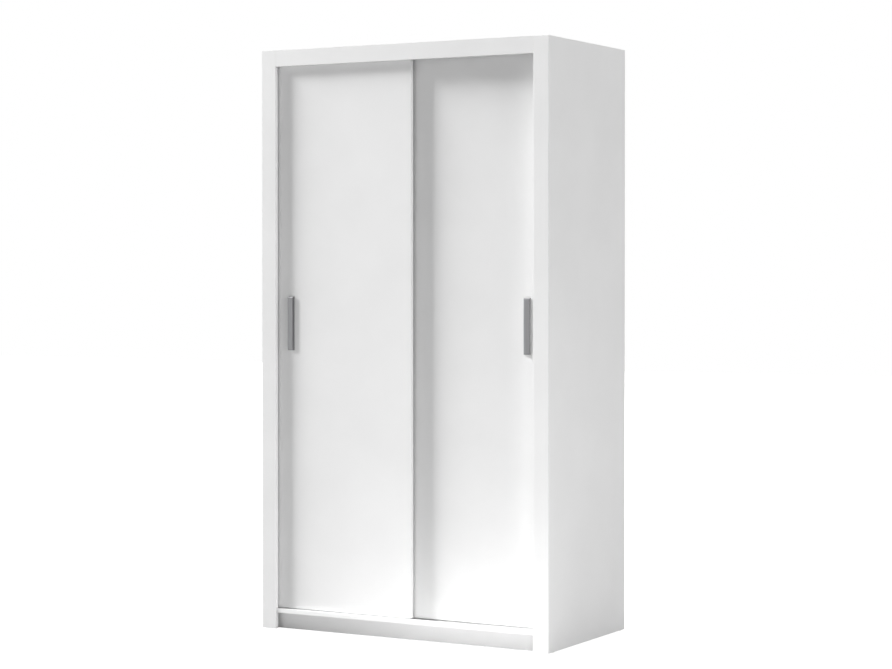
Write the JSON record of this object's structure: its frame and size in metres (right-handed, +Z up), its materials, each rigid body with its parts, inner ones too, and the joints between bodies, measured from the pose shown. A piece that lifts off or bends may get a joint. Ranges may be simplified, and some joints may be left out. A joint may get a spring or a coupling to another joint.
{
  "type": "sliding door wardrobe",
  "caption": "Tall free-standing wardrobe with overlapping sliding doors, slim metal pulls, a framed front, a recessed plinth, a hanging bay and a shelved bay.",
  "frame": {"origin": "on the floor, under the middle of the wardrobe's overall box", "axes": "+Z up, the doors face -Y, +X to the right of a person who faces the doors"},
  "size_m": [1.2, 0.63, 2.16],
  "materials": {
    "white_melamine": "matt white melamine-faced particle board, edge-banded",
    "white_fibreboard": "thin white-faced hardboard, smooth",
    "beech": "fluted beech, raw",
    "satin_aluminium": "grey satin anodised, fine vertical brushing",
    "anodised_aluminium": "natural matt anodised extrusion",
    "zinc_steel": "bright zinc-plated steel",
    "zinc_casting": "die-cast zinc, dull",
    "chrome_tube": "bright chromed steel tube",
    "white_plastic": "white moulded plastic",
    "grey_plastic": "light grey moulded plastic",
    "wheel_nylon": "off-white nylon, turned by use",
    "clear_rubber": "soft translucent rubber"
  },
  "bodies": {
    "carcass": {"side_left": "white_melamine", "side_right": "white_melamine", "top_panel": "white_melamine", "bottom_panel": "white_melamine", "centre_divider": "white_melamine", "stile_left": "white_melamine", "stile_right": "white_melamine", "header": "white_melamine", "front_plinth": "white_melamine", "rear_plinth": "white_melamine", "middle_plinth": "white_melamine", "back_left": "white_fibreboard", "back_right": "white_fibreboard", "hat_shelf": "white_melamine", "shelf_1": "white_melamine", "shelf_2": "white_melamine", "shelf_3": "white_melamine", "shelf_4": "white_melamine", "shelf_5": "white_melamine", "shelf_pins": "zinc_steel", "hanging_rail": "chrome_tube", "rail_sockets": "white_plastic", "rail_socket_screws": "zinc_steel", "cam_bolts": "zinc_steel", "cam_locks": "zinc_casting", "panel_dowels": "beech", "plinth_dowels": "beech", "frame_dowels": "beech", "back_nails": "zinc_steel", "floor_glides": "white_plastic", "wall_brackets": "zinc_steel", "wall_bracket_screws": "zinc_steel", "door_bumpers": "clear_rubber", "top_track": "anodised_aluminium", "top_track_screws": "zinc_steel", "bottom_track_front": "anodised_aluminium", "bottom_track_rear": "anodised_aluminium"},
    "left_door": {"door_left_panel": "white_melamine", "door_left_handle": "satin_aluminium", "door_left_handle_screws": "zinc_steel", "door_left_roller_housings": "grey_plastic", "door_left_roller_screws": "zinc_steel", "door_left_axles": "zinc_steel", "door_left_guides": "white_plastic"},
    "right_door": {"door_right_panel": "white_melamine", "door_right_handle": "satin_aluminium", "door_right_handle_screws": "zinc_steel", "door_right_roller_housings": "grey_plastic", "door_right_roller_screws": "zinc_steel", "door_right_axles": "zinc_steel", "door_right_guides": "white_plastic"},
    "left_wheel_a": {"door_left_wheel_a": "wheel_nylon"},
    "left_wheel_b": {"door_left_wheel_b": "wheel_nylon"},
    "right_wheel_a": {"door_right_wheel_a": "wheel_nylon"},
    "right_wheel_b": {"door_right_wheel_b": "wheel_nylon"}
  },
  "joints": [
    {"name": "left_door_slide", "type": "slide", "parent": "carcass", "child": "left_door", "axis": [1, 0, 0], "range_m": [0, 0.5465]},
    {"name": "right_door_slide", "type": "slide", "parent": "carcass", "child": "right_door", "axis": [1, 0, 0], "range_m": [-0.5465, 0]},
    {"name": "left_wheel_a_turn", "type": "hinge", "parent": "left_door", "child": "left_wheel_a", "pos_m": [-0.521, -0.285, 0.0852], "axis": [0, 1, 0], "continuous": true},
    {"name": "left_wheel_b_turn", "type": "hinge", "parent": "left_door", "child": "left_wheel_b", "pos_m": [-0.0255, -0.285, 0.0852], "axis": [0, 1, 0], "continuous": true},
    {"name": "right_wheel_a_turn", "type": "hinge", "parent": "right_door", "child": "right_wheel_a", "pos_m": [0.0255, -0.261, 0.0852], "axis": [0, 1, 0], "continuous": true},
    {"name": "right_wheel_b_turn", "type": "hinge", "parent": "right_door", "child": "right_wheel_b", "pos_m": [0.521, -0.261, 0.0852], "axis": [0, 1, 0], "continuous": true}
  ],
  "couplings": [
    {"joint": "left_wheel_a_turn", "follows": "left_door_slide", "rad_per_m": 76.923},
    {"joint": "left_wheel_b_turn", "follows": "left_door_slide", "rad_per_m": 76.923},
    {"joint": "right_wheel_a_turn", "follows": "right_door_slide", "rad_per_m": 76.923},
    {"joint": "right_wheel_b_turn", "follows": "right_door_slide", "rad_per_m": 76.923}
  ]
}
